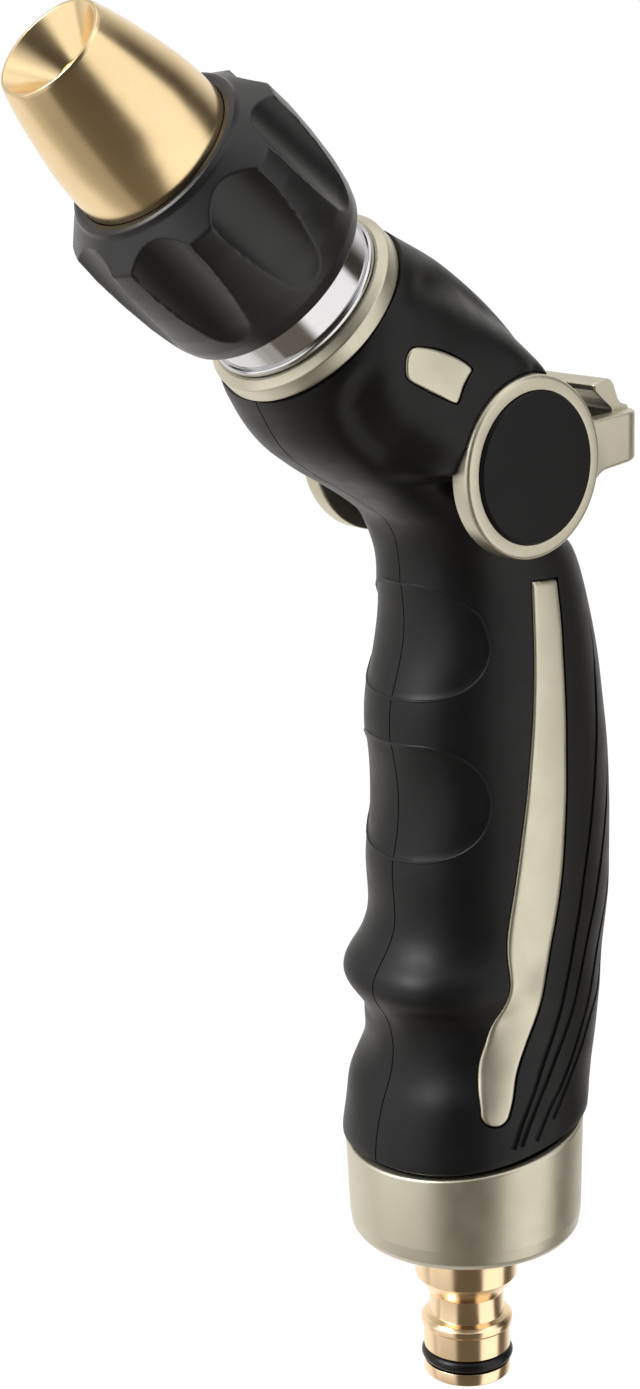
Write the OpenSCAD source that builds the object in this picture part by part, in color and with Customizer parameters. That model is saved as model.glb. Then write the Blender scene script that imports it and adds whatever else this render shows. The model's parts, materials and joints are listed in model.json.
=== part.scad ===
// Hose spray nozzle: a curved grip with a thumb-lever flow valve, a twist-adjust
// spray head set at an angle, and a quick-connect hose spigot below the handle.
// Millimetres. The origin is the centre of the spigot's end face, +Z runs up the
// spigot and handle, +X is the way the water leaves, +Y is the tool's left side.

/* [Hose connector] */
// Radius of the spigot's sealing land
spigot_r = 7.9; // [7.8:0.05:8.0]
// Radius of the waterway through the spigot
spigot_bore_r = 4.6; // [3.5:0.1:5.2]
// Outer radius of the spigot's sealing ring
spigot_seal_r = 8.35; // [8.2:0.05:8.5]
// Height of the ferrule's lower face above the spigot's end
ferrule_z = 28.6; // [28.6:0.2:30]

/* [Ferrule] */
// Radius of the ferrule at its rim
ferrule_r = 21.3; // [21:0.1:21.8]
// Height of the rim on the handle's axis
ferrule_rim_z = 49.1; // [48.8:0.1:49.3]
// Slope of the rim, in degrees, higher at the back
ferrule_rim_slope = 7.8; // [7.2:0.1:8]

/* [Grip] */
// Wall of the two grip shells
grip_wall = 2.5; // [2:0.1:2.6]
// Squareness of the grip's cross-section, where 2 is an ellipse
grip_squareness = 2.3; // [2.1:0.1:2.6]
// Depth of the pockets that hold the side trims
trim_depth = 1.1; // [0.8:0.1:1.3]
// Gap between a trim and its pocket
trim_gap = 0.35; // [0.2:0.05:0.5]

/* [Lever and valve] */
// Pivot's distance in front of the handle's axis
pivot_x = 1.5; // [1.3:0.1:1.7]
// Pivot's height above the spigot's end
pivot_z = 170; // [169.8:0.1:170.2]
// Radius of the lever's two round ears
ear_r = 15.1; // [14.6:0.1:15.2]
// Outer face of an ear, from the middle plane
ear_outer_y = 20.7; // [20.5:0.1:21]
// Inner face of an ear, from the middle plane
ear_inner_y = 16.9; // [16.8:0.05:17]
// Radius of the valve drum
drum_r = 10; // [9.6:0.1:10]
// Radius of the waterway through the valve
port_r = 2.5; // [2:0.1:2.5]

/* [Spray head] */
// Angle of the barrel above the horizontal, in degrees
barrel_pitch = 41.9; // [41.5:0.1:42.3]
// Radius of the chrome barrel
barrel_r = 14.6; // [14.4:0.05:14.6]
// Largest radius of the twist collar
collar_r = 19.6; // [19.2:0.1:19.8]
// Number of finger flutes round the collar
flute_count = 8; // [6:1:8]
// Radius of the throat in the spray tip
throat_r = 3.3; // [3.2:0.1:3.4]
// Radius of the spray tip's open mouth
mouth_r = 8.1; // [7.8:0.1:8.2]

/* [Hidden] */
$fn = 96;
over = 1;

// Colours of the finishes
champagne = [0.70, 0.68, 0.58];
soft_black = [0.07, 0.07, 0.075];
satin_black = [0.12, 0.12, 0.13];
chrome = [0.86, 0.87, 0.88];
gold = [0.83, 0.70, 0.45];
brass = [0.85, 0.66, 0.42];
zinc = [0.62, 0.63, 0.64];
seal_black = [0.05, 0.05, 0.05];
moulding = [0.30, 0.31, 0.33];

// Spigot: heights of its features from the end face
seal_groove = [2.3, 5.0];
seal_wire_r = 1.15;
spigot_bead_r = 8.3;
spigot_neck_r = 6.75;
spigot_flange_r = 9.3;
connector_thread_r = 8.0;
connector_top_z = 42;
thread_gap = 0.05;

// Inlet tube
tube_r = 7.5;
tube_bore_r = 5.2;
tube_top_z = 152;
socket_r = 11.5;
tube_flange_r = 18.2;
grip_foot_z = 34;
washer_h = 1.6;
ferrule_floor = 3;
tube_seal_z = 148;
tube_seal_wire_r = 0.75;

// Valve
boss_r = 13;
boss_half = 13.6;
drum_gap = 0.05;
drum_half = 13.4;
journal_r = 6;
drive_square = 8;
seat_outer_r = 4.6;
seat_depth_r = 12.2;
drum_seal_y = 10.4;
drum_seal_wire_r = 0.65;
lever_floor_y = 18.6;
screw_head_r = 4.9;
arm_outer_y = 20.3;
lever_back_x = -24.8;
cap_floor_y = 19.7;
cap_face_y = 21.3;
cap_r = 12.5;
pocket_floor_y = 16.4;
pocket_r = 15.6;

// Barrel: distances along its axis from the lever's pivot
barrel_back = 16;
barrel_shank_r = 9.9;
shoulder_s = 36.5;
bezel_back = 39.8;
bezel_front = 43.6;
lip_back = 43.8;
lip_front = 44.8;
chrome_front = 57;
thread_front = 70;
barrel_front = 80.5;
barrel_thread_r = 12;
barrel_land_r = 10.5;
barrel_bore_r = 7.5;
barrel_seal_s = 20;
barrel_seal_wire_r = 0.8;
collar_back = 50.8;
collar_front = 79.6;
insert_back = 62;
insert_front = 74;
tip_back = 74.8;
tip_front = 103.3;
throat_back = 96.5;
throat_front = 97.5;
head_seal_s = 77;
head_seal_wire_r = 0.9;
flute_r = 10;
flute_rear = [28.2, 58.2];
flute_front = [26.9, 76];
flute_tilt = atan2(flute_rear[0] - flute_front[0], flute_front[1] - flute_rear[1]);
flute_turn = 10.5;

// Grip sections from the ferrule to the bezel. Each row gives the front point's
// x and z, the rear point's x and z, and the section's half width.
grip_stations = [
    [17.4, grip_foot_z, -17.4, grip_foot_z, 17.2],
    [17.4, 46.6, -17.4, 51.6, 17.2],
    [20.6, 47.2, -21.2, 52.6, 20.0],
    [21.3, 48.6, -22.0, 54.2, 20.3],
    [20.7, 53.3, -22.8, 57, 19.7],
    [19.2, 58.5, -23.6, 61, 19.3],
    [17.3, 63, -24.3, 65, 19.2],
    [16.6, 68, -25.2, 69.5, 19.0],
    [17.7, 73, -26.2, 73.5, 18.8],
    [20.2, 76.8, -27.0, 77.2, 18.5],
    [21.2, 79.5, -27.6, 80, 18.3],
    [20.2, 82.3, -28.2, 83, 18.1],
    [17.4, 86, -28.8, 87, 17.9],
    [15.6, 90.5, -29.2, 91.5, 17.9],
    [16.0, 99, -29.4, 99.5, 17.9],
    [15.5, 106, -29.5, 107, 17.7],
    [15.6, 116.5, -29.2, 116.5, 17.4],
    [15.9, 126.5, -28.1, 125.5, 17.1],
    [14.7, 134.5, -26.9, 134, 16.5],
    [13.3, 143, -25.0, 142.5, 15.6],
    [12.9, 149.5, -22.9, 149.5, 14.9],
    [13.0, 153, -20.4, 153.8, 14.7],
    [13.4, 155.8, -16.4, 155.4, 14.8],
    [14.2, 158.4, -12.9, 158.6, 15.1],
    [15.9, 160.9, -14.9, 162, 15.5],
    [18.3, 162.7, -17.0, 167.5, 16.1],
    [21.6, 164.9, -16.7, 173.8, 16.9],
    [25.5, 167.3, -14.3, 178.6, 17.8],
    [29.2, 169.4, -12.4, 182.9, 18.6],
    [32.6, 171.6, -9.4, 187.3, 18.9],
    [35.5, 173.7, -5.2, 192.1, 19.1],
    [37.8, 176.0, 0.2, 197.0, 19.2],
    [39.5, 178.3, 5.9, 201.3, 19.2],
    [40.8, 180.5, 11.0, 204.7, 18.9],
    [41.9, 182.4, 17.0, 207.8, 18.1],
    [42.5, 183.6, 19.5, 209.2, 17.2]];
station_steps = 2;
ring_points = 28;

// Side trim: centre line and half width, from the lower round end to the slanted top
trim_path = [
    [9.2, 58.6, 2.3],
    [8.6, 61, 2.6],
    [7.5, 64.3, 2.8],
    [6.3, 67.8, 3.2],
    [4.9, 71.5, 3.4],
    [3.3, 75, 3.6],
    [1.8, 79.4, 3.9],
    [0.2, 86.5, 4.5],
    [-1.0, 92, 4.8],
    [-2.1, 98, 4.9],
    [-3.2, 105, 4.7],
    [-4.2, 112.6, 4.4],
    [-4.8, 120, 4.05],
    [-5.3, 127, 3.75],
    [-5.8, 135, 3.4],
    [-6.2, 142, 3.25],
    [-6.3, 150, 2.95]];

trim_rows = [3, 22];

// Head inlay: outline corners in the middle plane's x and z
inlay_outline = [
    [27.4, 190.6], [26.6, 191.6], [25.1, 191.9], [22.1, 191.3], [18.9, 190.2],
    [16.2, 188.9], [14.2, 187.4], [14.9, 186.4], [16.1, 184.9], [17.2, 182.8],
    [18.0, 182.4], [20.9, 183.8], [24.1, 185.4], [26.7, 186.8], [27.5, 187.8],
    [27.6, 189.4]];
inlay_rows = [25, 34];

function blend_station(a, b, c, d, t) =
    0.5 * (2 * b + (c - a) * t + (2 * a - 5 * b + 4 * c - d) * t * t
    + (3 * b - a - 3 * c + d) * t * t * t);

function station(i) = grip_stations[max(0, min(len(grip_stations) - 1, i))];

// Smoothed sections between two rows of the table
function smooth_stations(first, last) = concat(
    [for (i = [first:last - 1], k = [0:station_steps - 1])
        blend_station(station(i - 1), station(i), station(i + 1), station(i + 2), k / station_steps)],
    [station(last)]);

function rounded(v) = sign(v) * pow(abs(v), 2 / grip_squareness);

// One ring of the grip's surface, pulled in by inset all round
function ring(s, inset) =
    let (front = [s[0], s[1]], rear = [s[2], s[3]])
    let (middle = (front + rear) / 2, half = (front - rear) / 2)
    let (reach = half * (1 - inset / norm(half)))
    [for (k = [0:ring_points - 1])
        let (c = rounded(cos(360 * k / ring_points)), w = rounded(sin(360 * k / ring_points)))
        [middle[0] + reach[0] * c, (s[4] - inset) * w, middle[1] + reach[1] * c]];

// The grip's outer form between two rows, as a solid pulled in by inset all round
module grip_form(inset, first = 0, last = len(grip_stations) - 1) {
    rings = [for (s = smooth_stations(first, last)) ring(s, inset)];
    count = len(rings);
    n = ring_points;
    sides = [for (i = [0:count - 2], k = [0:n - 1])
        let (a = i * n + k, b = i * n + (k + 1) % n)
        each [[a, a + n, b], [b, a + n, b + n]]];
    bottom = [[for (k = [0:n - 1]) k]];
    top = [[for (k = [0:n - 1]) count * n - 1 - k]];
    polyhedron([for (r = rings) each r], concat(bottom, sides, top));
}

// Places its children on the barrel's axis, s from the lever's pivot
module along_barrel(s) {
    translate([pivot_x, 0, pivot_z])
        rotate([0, 90 - barrel_pitch, 0])
            translate([0, 0, s])
                children();
}

// A ring turned about its own axis, between two radii
module collar_ring(outer_r, inner_r, h) {
    difference() {
        cylinder(h = h, r = outer_r);
        translate([0, 0, -over])
            cylinder(h = h + 2 * over, r = inner_r);
    }
}

// A sealing ring of round section, lying on z = 0
module oring(wire_r, middle_r) {
    rotate_extrude()
        translate([middle_r, 0])
            circle(r = wire_r, $fn = 32);
}

// A cylinder along Y through the lever's pivot
module cross_cylinder(r, y_from, y_to) {
    translate([pivot_x, y_from, pivot_z])
        rotate([-90, 0, 0])
            cylinder(h = y_to - y_from, r = r);
}

// A copy of a left-hand piece on the right-hand side
module right_hand() {
    mirror([0, 1, 0])
        children();
}

// ---- Inlet ----

module hose_connector() color(brass)
    difference() {
        rotate_extrude()
            polygon([
                [0, 0], [spigot_r, 0], [spigot_r, seal_groove[0]],
                [spigot_seal_r - 2 * seal_wire_r - thread_gap, seal_groove[0]],
                [spigot_seal_r - 2 * seal_wire_r - thread_gap, seal_groove[1]],
                [spigot_r, seal_groove[1]], [spigot_r, 9.4],
                [spigot_bead_r, 9.8], [spigot_bead_r, 10.7], [7.7, 11.3],
                [spigot_neck_r, 11.8], [spigot_neck_r, 16], [spigot_flange_r, 19.6],
                [spigot_flange_r, ferrule_z], [connector_thread_r, ferrule_z],
                [connector_thread_r, connector_top_z], [0, connector_top_z]]);
        translate([0, 0, -over])
            cylinder(h = connector_top_z + 2 * over, r = spigot_bore_r);
    }

module connector_oring() color(seal_black)
    translate([0, 0, (seal_groove[0] + seal_groove[1]) / 2])
        oring(seal_wire_r, spigot_seal_r - seal_wire_r);

module inlet_washer() color(seal_black)
    translate([0, 0, connector_top_z])
        collar_ring(connector_thread_r - 0.1, spigot_bore_r + 0.2, washer_h);

module inlet_tube() color(moulding)
    difference() {
        union() {
            cylinder_between(tube_flange_r, ferrule_z + ferrule_floor, grip_foot_z);
            cylinder_between(socket_r, ferrule_z + ferrule_floor, 46.6);
            cylinder_between(tube_r, 45, tube_top_z);
        }
        cylinder_between(connector_thread_r + thread_gap, ferrule_z, connector_top_z + washer_h);
        cylinder_between(tube_bore_r, connector_top_z, tube_top_z + over);
        translate([0, 0, tube_seal_z - tube_seal_wire_r - 0.1])
            collar_ring(tube_r + over, tube_r + 0.28 - 2 * tube_seal_wire_r, 2 * tube_seal_wire_r + 0.2);
    }

// An upright cylinder on the handle's axis
module cylinder_between(r, z_from, z_to) {
    translate([0, 0, z_from])
        cylinder(h = z_to - z_from, r = r);
}

module tube_oring() color(seal_black)
    translate([0, 0, tube_seal_z])
        oring(tube_seal_wire_r, tube_r + 0.28 - tube_seal_wire_r);

module ferrule() color(champagne)
    difference() {
        rotate_extrude()
            difference() {
                polygon([
                    [0, ferrule_z], [17.4, ferrule_z], [18.9, 29.0], [20.1, 29.9],
                    [20.7, 31.2], [20.8, 32.4], [ferrule_r, 56], [0, 56]]);
                translate([-over, ferrule_z + ferrule_floor])
                    square([18.6 + over, 30]);
            }
        cylinder_between(connector_thread_r + 0.15, ferrule_z - over, ferrule_z + 5);
        translate([0, 0, ferrule_rim_z])
            rotate([0, ferrule_rim_slope, 0])
                translate([-40, -40, 0])
                    cube([80, 80, 40]);
    }

// ---- Grip ----

// Side view of the trim, swept along its centre line and cut on a slant at the top
module trim_outline(grow) {
    difference() {
        for (i = [0:len(trim_path) - 2])
            hull() {
                translate([trim_path[i][0], trim_path[i][1]])
                    circle(r = trim_path[i][2] + grow, $fn = 24);
                translate([trim_path[i + 1][0], trim_path[i + 1][1]])
                    circle(r = trim_path[i + 1][2] + grow, $fn = 24);
            }
        translate([-6, 149.1 + grow])
            rotate([0, 0, -5])
                translate([-20, 0])
                    square([40, 20]);
    }
}

// A side-view outline carried across the left-hand half of the grip
module carried_left(reach) {
    translate([0, reach, 0])
        rotate([90, 0, 0])
            linear_extrude(height = reach - 4)
                children();
}

// The layer of the grip between two depths, over a run of rows
module grip_layer(outer_inset, inner_inset, first, last) {
    difference() {
        grip_form(outer_inset, first, last);
        grip_form(inner_inset, first - 1, last + 1);
    }
}

module side_trim() color(champagne)
    intersection() {
        carried_left(26)
            trim_outline(0);
        grip_layer(-0.15, trim_depth, trim_rows[0], trim_rows[1]);
    }

module head_inlay() color(champagne)
    intersection() {
        carried_left(26)
            polygon(inlay_outline);
        grip_layer(-0.15, trim_depth, inlay_rows[0], inlay_rows[1]);
    }

// The left-hand grip shell, with its lever pocket and trim pockets
module grip_shell() color(soft_black)
    difference() {
        union() {
            grip_form(0);
            cross_cylinder(14.8, -pocket_floor_y, pocket_floor_y);
        }
        grip_form(grip_wall);
        cross_cylinder(boss_r + 0.2, -boss_half, boss_half);
        cylinder_between(15, grip_foot_z - over, 50);
        along_barrel(34)
            cylinder(h = 8, r = barrel_r + 0.2);
        cross_cylinder(pocket_r, pocket_floor_y, 30);
        cross_cylinder(journal_r + 0.5, 0, 30);
        translate([-100, -60, 0])
            cube([200, 60, 300]);
        difference() {
            carried_left(26)
                trim_outline(trim_gap);
            grip_form(trim_depth);
        }
        difference() {
            carried_left(26)
                offset(delta = trim_gap)
                    polygon(inlay_outline);
            grip_form(trim_depth);
        }
    }

module grip_shell_left() grip_shell();

module grip_shell_right() right_hand() grip_shell();

module side_trim_left() side_trim();

module side_trim_right() right_hand() side_trim();

module head_inlay_left() head_inlay();

module head_inlay_right() right_hand() head_inlay();

// ---- Valve ----

module valve_housing() color(zinc)
    difference() {
        union() {
            translate([pivot_x, 0, pivot_z])
                rotate([-90, 0, 0])
                    rotate_extrude()
                        polygon([
                            [0, -boss_half], [boss_r - 1.5, -boss_half],
                            [boss_r, 2.6 - boss_half], [boss_r, boss_half - 2.6],
                            [boss_r - 1.5, boss_half], [0, boss_half]]);
            cylinder_between(9.6, 144, pivot_z);
            along_barrel(0)
                cylinder(h = shoulder_s, r = 12.4);
        }
        cross_cylinder(drum_r + drum_gap, -boss_half - over, boss_half + over);
        cylinder_between(tube_r + 0.3, 144 - over, tube_top_z + 0.5);
        cylinder_between(port_r + 0.3, tube_top_z, pivot_z);
        along_barrel(0)
            cylinder(h = barrel_back + over, r = port_r + 0.3);
        along_barrel(barrel_back - 0.5)
            cylinder(h = 40, r = barrel_shank_r + thread_gap);
        along_barrel(0)
            cylinder(h = seat_depth_r + 0.05, r = seat_outer_r + 0.05);
        translate([pivot_x, 0, pivot_z - seat_depth_r - 0.05])
            cylinder(h = seat_depth_r, r = seat_outer_r + 0.05);
    }

module port_seats() color(seal_black)
    difference() {
        union() {
            along_barrel(drum_r - 2)
                collar_ring(seat_outer_r, port_r + 0.3, seat_depth_r - drum_r + 2);
            translate([pivot_x, 0, pivot_z - seat_depth_r])
                collar_ring(seat_outer_r, port_r + 0.3, seat_depth_r - drum_r + 2);
        }
        cross_cylinder(drum_r + 2 * drum_gap, -20, 20);
    }

module valve_drum() color(brass)
    difference() {
        union() {
            cross_cylinder(drum_r, -drum_half, drum_half);
            cross_cylinder(journal_r, -ear_inner_y, ear_inner_y);
            translate([pivot_x, 0, pivot_z])
                cube([drive_square, 2 * lever_floor_y - 0.2, drive_square], center = true);
        }
        along_barrel(0)
            cylinder(h = 20, r = port_r);
        translate([pivot_x, 0, pivot_z - 20])
            cylinder(h = 20, r = port_r);
        translate([pivot_x, 0, pivot_z])
            sphere(r = port_r + 0.02);
        cross_cylinder(2, -30, -7);
        cross_cylinder(2, 7, 30);
        for (side = [-1, 1])
            translate([pivot_x, side * drum_seal_y + 0.8, pivot_z])
                rotate([90, 0, 0])
                    collar_ring(drum_r + over, drum_r - 2 * drum_seal_wire_r - 0.05, 1.6);
    }

module drum_orings() color(seal_black)
    for (side = [-1, 1])
        translate([pivot_x, side * drum_seal_y, pivot_z])
            rotate([90, 0, 0])
                oring(drum_seal_wire_r, drum_r - drum_seal_wire_r);

// ---- Lever ----

// Side view of the lever's arms and the back plate that joins them
module arm_outline() {
    polygon([
        [-8, 162], [-12.0, 164.8], [-13.4, 166.3], [-15, 167.1], [-19.6, 167.6],
        [-23.6, 168.1], [lever_back_x, 169.1], [lever_back_x + 0.1, 176],
        [-24.0, 176.6], [-8, 175.6]]);
}

// Side view of the thumb ridge above the back plate
module ridge_outline() {
    polygon([
        [-24.4, 175.5], [-24.1, 176.8], [-22.5, 177.3], [-21.7, 178.2], [-21.1, 179.6],
        [-20.6, 180.9], [-19.8, 181.8], [-18.6, 182.0], [-16.6, 181.5], [-15.9, 181.0],
        [-16.0, 180.2], [-17.8, 178.6], [-20.2, 176.8], [-20.2, 175.5]]);
}

module carried_across(half) {
    translate([0, half, 0])
        rotate([90, 0, 0])
            linear_extrude(height = 2 * half)
                children();
}

module thumb_lever() color(champagne)
    difference() {
        union() {
            difference() {
                union() {
                    intersection() {
                        carried_across(arm_outer_y)
                            arm_outline();
                        lever_plan();
                    }
                    carried_across(17)
                        ridge_outline();
                }
                translate([-20.2, -ear_inner_y, 150])
                    cube([30, 2 * ear_inner_y, 27.5]);
            }
            cross_cylinder(ear_r, ear_inner_y, ear_outer_y);
            cross_cylinder(ear_r, -ear_outer_y, -ear_inner_y);
        }
        for (side = [0, 1])
            mirror([0, side, 0]) {
                cross_cylinder(cap_r + 0.05, cap_floor_y, 30);
                cross_cylinder(screw_head_r + 0.1, lever_floor_y, 30);
                translate([pivot_x, ear_inner_y, pivot_z])
                    cube([drive_square + 0.1, 2 * (lever_floor_y - ear_inner_y) + 0.2,
                        drive_square + 0.1], center = true);
            }
    }

// Top view of the lever's back, with rounded rear corners
module lever_plan() {
    corner = 4;
    translate([0, 0, 150])
        linear_extrude(height = 40)
            union() {
                translate([lever_back_x + corner, -arm_outer_y])
                    square([30, 2 * arm_outer_y]);
                translate([lever_back_x, -arm_outer_y + corner])
                    square([corner + over, 2 * (arm_outer_y - corner)]);
                for (side = [-1, 1])
                    translate([lever_back_x + corner, side * (arm_outer_y - corner)])
                        circle(r = corner);
            }
}

module lever_cap() color(satin_black)
    translate([pivot_x, 0, pivot_z])
        rotate([-90, 0, 0])
            rotate_extrude()
                polygon([
                    [0, cap_floor_y], [cap_r, cap_floor_y], [cap_r, cap_face_y - 0.4],
                    [cap_r - 0.4, cap_face_y], [0, cap_face_y]]);

module lever_cap_left() lever_cap();

module lever_cap_right() right_hand() lever_cap();

module lever_screws() color(zinc)
    for (side = [0, 1])
        mirror([0, side, 0])
            difference() {
                union() {
                    cross_cylinder(1.95, 9, lever_floor_y + 0.5);
                    cross_cylinder(screw_head_r, lever_floor_y, lever_floor_y + 1);
                }
                translate([pivot_x, lever_floor_y + 0.3, pivot_z])
                    rotate([-90, 0, 0])
                        cylinder(h = 2, r = 1.7, $fn = 6);
            }

// ---- Barrel ----

module barrel_tube() color(chrome)
    along_barrel(0)
        difference() {
            rotate_extrude()
                polygon([
                    [barrel_bore_r, barrel_back], [barrel_shank_r, barrel_back],
                    [barrel_shank_r, barrel_seal_s - barrel_seal_wire_r - 0.1],
                    [barrel_shank_r - 1.6, barrel_seal_s - barrel_seal_wire_r - 0.1],
                    [barrel_shank_r - 1.6, barrel_seal_s + barrel_seal_wire_r + 0.1],
                    [barrel_shank_r, barrel_seal_s + barrel_seal_wire_r + 0.1],
                    [barrel_shank_r, shoulder_s], [barrel_r, shoulder_s],
                    [barrel_r, lip_back], [barrel_r + 0.8, lip_back],
                    [barrel_r + 0.8, lip_back + 0.7], [barrel_r + 0.5, lip_front],
                    [barrel_r, lip_front], [barrel_r, chrome_front],
                    [barrel_thread_r, chrome_front], [barrel_thread_r, thread_front],
                    [barrel_land_r, thread_front], [barrel_land_r, barrel_front],
                    [barrel_bore_r, barrel_front]]);
        }

module barrel_oring() color(seal_black)
    along_barrel(barrel_seal_s)
        oring(barrel_seal_wire_r, barrel_shank_r + thread_gap - barrel_seal_wire_r);

module bezel_ring() color(champagne)
    along_barrel(0)
        rotate_extrude()
            polygon([
                [barrel_r + 0.1, bezel_back], [17.3, bezel_back], [17.2, 42.9],
                [15.9, bezel_front], [barrel_r + 0.1, bezel_front]]);

module spray_stem() color(brass)
    along_barrel(0)
        difference() {
            rotate_extrude()
                polygon([
                    [0, 60], [barrel_bore_r - 0.05, 60], [barrel_bore_r - 0.05, 63],
                    [2.2, 63], [2.2, 84], [4.6, 86], [4.6, 90], [1.2, 94.5], [0, 94.5]]);
            for (k = [0:2])
                rotate([0, 0, 120 * k])
                    translate([4.8, 0, 58])
                        cylinder(h = 8, r = 2);
        }

// ---- Twist head ----

// Cutter for one finger flute, with a rounded rear end
module flute_cutter()
    translate([flute_rear[0], 0, flute_rear[1]])
        rotate([0, -flute_tilt, 0])
            rotate_extrude()
                polygon([
                    [0, 26], [0, -6],
                    for (t = [30:-10:0])
                        [flute_r * cos(t), -flute_r * sin(t)],
                    [flute_r, 26]]);

module spray_collar() color(satin_black)
    along_barrel(0)
        difference() {
            rotate_extrude()
                polygon([
                    [barrel_r + 0.15, collar_back], [16.6, collar_back], [17.8, 51.4],
                    [18.4, 53.3], [19.1, 58], [collar_r, 64], [collar_r + 0.1, 69.5],
                    [collar_r - 0.15, 74.7], [15.4, 78.6], [15.2, 79.3],
                    [14.7, collar_front], [13.5, collar_front],
                    [13.5, insert_back], [barrel_r + 0.15, insert_back]]);
            for (k = [0:flute_count - 1])
                rotate([0, 0, 360 * (k + 0.5) / flute_count + flute_turn])
                    flute_cutter();
        }

module collar_insert() color(brass)
    along_barrel(insert_back)
        collar_ring(13.4, barrel_thread_r + thread_gap, insert_front - insert_back);

module insert_washer() color(seal_black)
    along_barrel(insert_front)
        collar_ring(13.4, barrel_thread_r + 0.3, tip_back - insert_front);

module spray_tip() color(gold)
    along_barrel(0)
        rotate_extrude()
            polygon([
                [barrel_land_r + thread_gap, tip_back], [13.4, tip_back], [13.4, 83],
                [12.85, 87.5], [12.0, 92], [10.8, 97], [9.6, 101.4], [9.2, 102.7],
                [9.0, 103.15], [8.7, tip_front], [mouth_r + 0.2, 103.15],
                [throat_r, throat_front], [throat_r, throat_back], [10.8, 86], [10.8, 80], [barrel_land_r + thread_gap, 80],
                [barrel_land_r + thread_gap, head_seal_s + 1.1],
                [12.4, head_seal_s + 1.1], [12.4, head_seal_s - 1.1],
                [barrel_land_r + thread_gap, head_seal_s - 1.1]]);

module head_seal() color(seal_black)
    along_barrel(head_seal_s)
        oring(head_seal_wire_r, barrel_land_r + thread_gap + head_seal_wire_r);

hose_connector();
connector_oring();
inlet_washer();
inlet_tube();
tube_oring();
ferrule();
grip_shell_left();
grip_shell_right();
valve_housing();
port_seats();
barrel_tube();
barrel_oring();
bezel_ring();
spray_stem();
side_trim_left();
side_trim_right();
head_inlay_left();
head_inlay_right();
thumb_lever();
lever_cap_left();
lever_cap_right();
lever_screws();
valve_drum();
drum_orings();
head_seal();
spray_collar();
collar_insert();
insert_washer();
spray_tip();
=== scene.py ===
import json
import math

import bmesh
import bpy
import numpy as np
from mathutils import Matrix, Vector
from mathutils.bvhtree import BVHTree


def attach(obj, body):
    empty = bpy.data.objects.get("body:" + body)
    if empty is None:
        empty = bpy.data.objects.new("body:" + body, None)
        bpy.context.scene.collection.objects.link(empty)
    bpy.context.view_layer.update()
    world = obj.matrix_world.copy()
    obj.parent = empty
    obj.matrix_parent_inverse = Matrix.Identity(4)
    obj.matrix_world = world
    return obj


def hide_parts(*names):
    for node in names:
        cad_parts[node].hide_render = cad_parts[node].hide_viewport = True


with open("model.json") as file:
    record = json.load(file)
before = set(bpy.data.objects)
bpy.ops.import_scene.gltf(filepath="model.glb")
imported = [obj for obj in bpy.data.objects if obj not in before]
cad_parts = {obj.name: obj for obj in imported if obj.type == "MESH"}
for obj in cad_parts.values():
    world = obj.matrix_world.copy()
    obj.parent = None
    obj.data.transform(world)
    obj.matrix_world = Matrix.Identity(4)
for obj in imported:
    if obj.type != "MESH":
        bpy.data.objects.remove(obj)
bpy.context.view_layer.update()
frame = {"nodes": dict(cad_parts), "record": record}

MM = 0.001
PIVOT = np.array([1.5, 0.0, 170.0])
PITCH = math.radians(41.9)
BARREL = np.array([math.cos(PITCH), 0.0, math.sin(PITCH)])
BARREL_UP = np.array([-math.sin(PITCH), 0.0, math.cos(PITCH)])
SIDE = np.array([0.0, 1.0, 0.0])
FRONT = np.array([1.0, 0.0, 0.0])
UP = np.array([0.0, 0.0, 1.0])
ROUND = 160
FINE_ROUND = 200


def placed(name, data):
    """A new object in the scene."""
    obj = bpy.data.objects.new(name, data)
    bpy.context.scene.collection.objects.link(obj)
    return obj


# ---------------------------------------------------------------- camera
CAMERA_PLACE = (0.3030, 0.3241, 0.2464)
CAMERA_RIGHT = (-0.7611, 0.6481, -0.0269)
CAMERA_UP = (-0.1864, -0.1788, 0.9661)
LENS = 69.13


def make_camera():
    data = bpy.data.cameras.new("camera")
    data.lens = LENS
    data.sensor_fit = "VERTICAL"
    data.sensor_height = 36
    data.clip_start = 0.01
    cam = placed("camera", data)
    right, up = Vector(CAMERA_RIGHT), Vector(CAMERA_UP)
    back = right.cross(up).normalized()
    up = back.cross(right).normalized()
    right = right.normalized()
    rows = [(right[i], up[i], back[i]) for i in range(3)]
    cam.matrix_world = Matrix.Translation(CAMERA_PLACE) @ Matrix(rows).to_4x4()
    bpy.context.scene.camera = cam


# ---------------------------------------------------------------- materials
def node(tree, kind, **values):
    made = tree.nodes.new(kind)
    for name, value in values.items():
        setattr(made, name, value)
    return made


def ranged(tree, source, low, high, out_low, out_high, smooth=False):
    made = node(tree, "ShaderNodeMapRange")
    if smooth:
        made.interpolation_type = "SMOOTHSTEP"
    names = ("From Min", "From Max", "To Min", "To Max")
    for socket, value in zip(names, (low, high, out_low, out_high)):
        made.inputs[socket].default_value = value
    tree.links.new(source, made.inputs["Value"])
    return made.outputs["Result"]


def noise(tree, coords, scale, detail=2.0):
    made = node(tree, "ShaderNodeTexNoise")
    made.inputs["Scale"].default_value = scale
    made.inputs["Detail"].default_value = detail
    tree.links.new(coords, made.inputs["Vector"])
    return made.outputs["Fac"]


BROAD_SCALE = 60.0
SPOT_SCALE = 260.0
NOISE_LOW, NOISE_HIGH = 0.3, 0.7


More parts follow.
